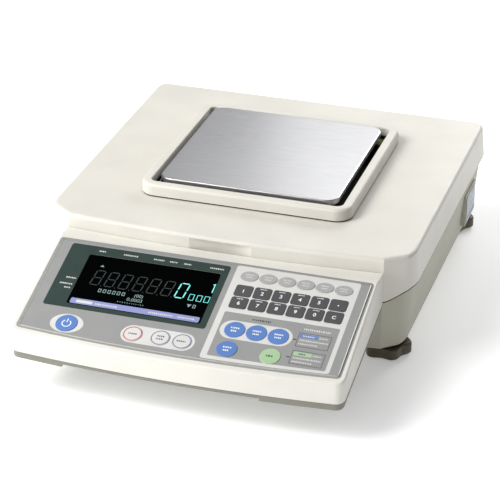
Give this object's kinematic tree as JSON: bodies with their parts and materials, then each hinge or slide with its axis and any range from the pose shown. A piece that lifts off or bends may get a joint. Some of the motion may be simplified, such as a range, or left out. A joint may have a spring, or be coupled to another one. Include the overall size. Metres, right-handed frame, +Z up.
{
  "type": "counting scale",
  "caption": "Bench counting scale with a square steel weighing pan, levelling feet and a sloping console that carries a display and push keys.",
  "frame": {"origin": "on the table, under the middle of the scale's overall box", "axes": "+Z up, +Y away from the user, +X to the user's right"},
  "size_m": [0.334, 0.442, 0.1168],
  "materials": {
    "casing": "fine moulded texture, ivory",
    "console_tray": "fine moulded texture, warm grey",
    "pan_steel": "brushed along the scale's width",
    "cast_aluminium": "satin",
    "plated_steel": "zinc plated",
    "circuit_board": "solder mask",
    "black_plastic": "moulded",
    "level_glass": "clear dome over pale liquid",
    "label_foil": "silver foil",
    "panel_film": "fine textured printed film",
    "display_window": "tinted, gloss",
    "display_glass": "clear glass over a dark ground",
    "foot_plastic": "moulded, dark olive brown",
    "foot_rubber": "matt",
    "key_dark": "satin film, white figures",
    "key_grey": "satin film",
    "key_blue": "satin film",
    "key_green": "satin film",
    "key_white": "satin film, coloured ring"
  },
  "bodies": {
    "base": {"base_case": "casing", "top_cover": "casing", "pan_surround": "casing", "load_cell": "cast_aluminium", "load_cell_spacer": "plated_steel", "chassis_plate": "plated_steel", "main_board": "circuit_board", "power_transformer": "black_plastic", "power_inlet": "black_plastic", "data_connector": "plated_steel", "bubble_level": "level_glass", "rating_label": "label_foil", "console_upper_case": "casing", "console_lower_case": "console_tray", "console_bracket": "plated_steel", "panel_overlay": "panel_film", "display_window": "display_window", "display_tube": "display_glass", "key_switch_board": "circuit_board", "case_screw_front_left": "plated_steel", "case_screw_rear_left": "plated_steel", "case_screw_front_right": "plated_steel", "case_screw_rear_right": "plated_steel"},
    "pan_support": {"pan_support": "cast_aluminium"},
    "weighing_pan": {"weighing_pan": "pan_steel"},
    "foot_pad_front_left": {"foot_pad_front_left": "foot_rubber"},
    "foot_knob_front_left": {"foot_knob_front_left": "foot_plastic"},
    "foot_pad_rear_left": {"foot_pad_rear_left": "foot_rubber"},
    "foot_knob_rear_left": {"foot_knob_rear_left": "foot_plastic"},
    "foot_pad_front_right": {"foot_pad_front_right": "foot_rubber"},
    "foot_knob_front_right": {"foot_knob_front_right": "foot_plastic"},
    "foot_pad_rear_right": {"foot_pad_rear_right": "foot_rubber"},
    "foot_knob_rear_right": {"foot_knob_rear_right": "foot_plastic"},
    "function_key_1": {"function_key_1": "key_grey"},
    "function_key_2": {"function_key_2": "key_grey"},
    "function_key_3": {"function_key_3": "key_grey"},
    "function_key_4": {"function_key_4": "key_grey"},
    "function_key_5": {"function_key_5": "key_grey"},
    "function_key_6": {"function_key_6": "key_grey"},
    "key_1": {"key_1": "key_dark"},
    "key_2": {"key_2": "key_dark"},
    "key_3": {"key_3": "key_dark"},
    "key_4": {"key_4": "key_dark"},
    "key_5": {"key_5": "key_dark"},
    "key_point": {"key_point": "key_dark"},
    "key_6": {"key_6": "key_dark"},
    "key_7": {"key_7": "key_dark"},
    "key_8": {"key_8": "key_dark"},
    "key_9": {"key_9": "key_dark"},
    "key_0": {"key_0": "key_dark"},
    "key_clear": {"key_clear": "key_dark"},
    "power_key": {"power_key": "key_blue"},
    "zero_key": {"zero_key": "key_white"},
    "tare_set_key": {"tare_set_key": "key_white"},
    "tare_key": {"tare_key": "key_white"},
    "unit_weight_key": {"unit_weight_key": "key_blue"},
    "unit_input_key": {"unit_input_key": "key_blue"},
    "sample_key": {"sample_key": "key_blue"},
    "memory_key": {"memory_key": "key_blue"},
    "enter_key": {"enter_key": "key_green"}
  },
  "joints": [
    {"name": "function_key_1_press", "type": "slide", "parent": "base", "child": "function_key_1", "axis": [0, 0.2916, -0.9566], "range_m": [0, 0.0004], "stiffness_N_per_m": 3000, "springref_m": -0.0003},
    {"name": "function_key_2_press", "type": "slide", "parent": "base", "child": "function_key_2", "axis": [0, 0.2916, -0.9566], "range_m": [0, 0.0004], "stiffness_N_per_m": 3000, "springref_m": -0.0003},
    {"name": "function_key_3_press", "type": "slide", "parent": "base", "child": "function_key_3", "axis": [0, 0.2916, -0.9566], "range_m": [0, 0.0004], "stiffness_N_per_m": 3000, "springref_m": -0.0003},
    {"name": "function_key_4_press", "type": "slide", "parent": "base", "child": "function_key_4", "axis": [0, 0.2916, -0.9566], "range_m": [0, 0.0004], "stiffness_N_per_m": 3000, "springref_m": -0.0003},
    {"name": "function_key_5_press", "type": "slide", "parent": "base", "child": "function_key_5", "axis": [0, 0.2916, -0.9566], "range_m": [0, 0.0004], "stiffness_N_per_m": 3000, "springref_m": -0.0003},
    {"name": "function_key_6_press", "type": "slide", "parent": "base", "child": "function_key_6", "axis": [0, 0.2916, -0.9566], "range_m": [0, 0.0004], "stiffness_N_per_m": 3000, "springref_m": -0.0003},
    {"name": "key_1_press", "type": "slide", "parent": "base", "child": "key_1", "axis": [0, 0.2916, -0.9566], "range_m": [0, 0.0004], "stiffness_N_per_m": 3000, "springref_m": -0.0003},
    {"name": "key_2_press", "type": "slide", "parent": "base", "child": "key_2", "axis": [0, 0.2916, -0.9566], "range_m": [0, 0.0004], "stiffness_N_per_m": 3000, "springref_m": -0.0003},
    {"name": "key_3_press", "type": "slide", "parent": "base", "child": "key_3", "axis": [0, 0.2916, -0.9566], "range_m": [0, 0.0004], "stiffness_N_per_m": 3000, "springref_m": -0.0003},
    {"name": "key_4_press", "type": "slide", "parent": "base", "child": "key_4", "axis": [0, 0.2916, -0.9566], "range_m": [0, 0.0004], "stiffness_N_per_m": 3000, "springref_m": -0.0003},
    {"name": "key_5_press", "type": "slide", "parent": "base", "child": "key_5", "axis": [0, 0.2916, -0.9566], "range_m": [0, 0.0004], "stiffness_N_per_m": 3000, "springref_m": -0.0003},
    {"name": "key_point_press", "type": "slide", "parent": "base", "child": "key_point", "axis": [0, 0.2916, -0.9566], "range_m": [0, 0.0004], "stiffness_N_per_m": 3000, "springref_m": -0.0003},
    {"name": "key_6_press", "type": "slide", "parent": "base", "child": "key_6", "axis": [0, 0.2916, -0.9566], "range_m": [0, 0.0004], "stiffness_N_per_m": 3000, "springref_m": -0.0003},
    {"name": "key_7_press", "type": "slide", "parent": "base", "child": "key_7", "axis": [0, 0.2916, -0.9566], "range_m": [0, 0.0004], "stiffness_N_per_m": 3000, "springref_m": -0.0003},
    {"name": "key_8_press", "type": "slide", "parent": "base", "child": "key_8", "axis": [0, 0.2916, -0.9566], "range_m": [0, 0.0004], "stiffness_N_per_m": 3000, "springref_m": -0.0003},
    {"name": "key_9_press", "type": "slide", "parent": "base", "child": "key_9", "axis": [0, 0.2916, -0.9566], "range_m": [0, 0.0004], "stiffness_N_per_m": 3000, "springref_m": -0.0003},
    {"name": "key_0_press", "type": "slide", "parent": "base", "child": "key_0", "axis": [0, 0.2916, -0.9566], "range_m": [0, 0.0004], "stiffness_N_per_m": 3000, "springref_m": -0.0003},
    {"name": "key_clear_press", "type": "slide", "parent": "base", "child": "key_clear", "axis": [0, 0.2916, -0.9566], "range_m": [0, 0.0004], "stiffness_N_per_m": 3000, "springref_m": -0.0003},
    {"name": "power_key_press", "type": "slide", "parent": "base", "child": "power_key", "axis": [0, 0.2916, -0.9566], "range_m": [0, 0.0004], "stiffness_N_per_m": 3000, "springref_m": -0.0003},
    {"name": "zero_key_press", "type": "slide", "parent": "base", "child": "zero_key", "axis": [0, 0.2916, -0.9566], "range_m": [0, 0.0004], "stiffness_N_per_m": 3000, "springref_m": -0.0003},
    {"name": "tare_set_key_press", "type": "slide", "parent": "base", "child": "tare_set_key", "axis": [0, 0.2916, -0.9566], "range_m": [0, 0.0004], "stiffness_N_per_m": 3000, "springref_m": -0.0003},
    {"name": "tare_key_press", "type": "slide", "parent": "base", "child": "tare_key", "axis": [0, 0.2916, -0.9566], "range_m": [0, 0.0004], "stiffness_N_per_m": 3000, "springref_m": -0.0003},
    {"name": "unit_weight_key_press", "type": "slide", "parent": "base", "child": "unit_weight_key", "axis": [0, 0.2916, -0.9566], "range_m": [0, 0.0004], "stiffness_N_per_m": 3000, "springref_m": -0.0003},
    {"name": "unit_input_key_press", "type": "slide", "parent": "base", "child": "unit_input_key", "axis": [0, 0.2916, -0.9566], "range_m": [0, 0.0004], "stiffness_N_per_m": 3000, "springref_m": -0.0003},
    {"name": "sample_key_press", "type": "slide", "parent": "base", "child": "sample_key", "axis": [0, 0.2916, -0.9566], "range_m": [0, 0.0004], "stiffness_N_per_m": 3000, "springref_m": -0.0003},
    {"name": "memory_key_press", "type": "slide", "parent": "base", "child": "memory_key", "axis": [0, 0.2916, -0.9566], "range_m": [0, 0.0004], "stiffness_N_per_m": 3000, "springref_m": -0.0003},
    {"name": "enter_key_press", "type": "slide", "parent": "base", "child": "enter_key", "axis": [0, 0.2916, -0.9566], "range_m": [0, 0.0004], "stiffness_N_per_m": 3000, "springref_m": -0.0003},
    {"name": "pan_support_sink", "type": "slide", "parent": "base", "child": "pan_support", "axis": [0, 0, -1], "range_m": [0, 0.0004], "stiffness_N_per_m": 120000, "springref_m": -0.0001},
    {"name": "pan_lift_off", "type": "slide", "parent": "pan_support", "child": "weighing_pan", "axis": [0, 0, 1], "range_m": [0, 0.03]},
    {"name": "foot_rise_front_left", "type": "slide", "parent": "base", "child": "foot_pad_front_left", "axis": [0, 0, -1], "range_m": [0, 0.005]},
    {"name": "foot_turn_front_left", "type": "hinge", "parent": "foot_pad_front_left", "child": "foot_knob_front_left", "pos_m": [-0.141, -0.058, 0.007], "axis": [0, 0, -1], "range_deg": [0, 1440]},
    {"name": "foot_rise_rear_left", "type": "slide", "parent": "base", "child": "foot_pad_rear_left", "axis": [0, 0, -1], "range_m": [0, 0.005]},
    {"name": "foot_turn_rear_left", "type": "hinge", "parent": "foot_pad_rear_left", "child": "foot_knob_rear_left", "pos_m": [-0.141, 0.195, 0.007], "axis": [0, 0, -1], "range_deg": [0, 1440]},
    {"name": "foot_rise_front_right", "type": "slide", "parent": "base", "child": "foot_pad_front_right", "axis": [0, 0, -1], "range_m": [0, 0.005]},
    {"name": "foot_turn_front_right", "type": "hinge", "parent": "foot_pad_front_right", "child": "foot_knob_front_right", "pos_m": [0.141, -0.058, 0.007], "axis": [0, 0, -1], "range_deg": [0, 1440]},
    {"name": "foot_rise_rear_right", "type": "slide", "parent": "base", "child": "foot_pad_rear_right", "axis": [0, 0, -1], "range_m": [0, 0.005]},
    {"name": "foot_turn_rear_right", "type": "hinge", "parent": "foot_pad_rear_right", "child": "foot_knob_rear_right", "pos_m": [0.141, 0.195, 0.007], "axis": [0, 0, -1], "range_deg": [0, 1440]}
  ],
  "couplings": [
    {"joint": "foot_turn_front_left", "follows": "foot_rise_front_left", "rad_per_m": 5026.5},
    {"joint": "foot_turn_rear_left", "follows": "foot_rise_rear_left", "rad_per_m": 5026.5},
    {"joint": "foot_turn_front_right", "follows": "foot_rise_front_right", "rad_per_m": 5026.5},
    {"joint": "foot_turn_rear_right", "follows": "foot_rise_rear_right", "rad_per_m": 5026.5}
  ]
}
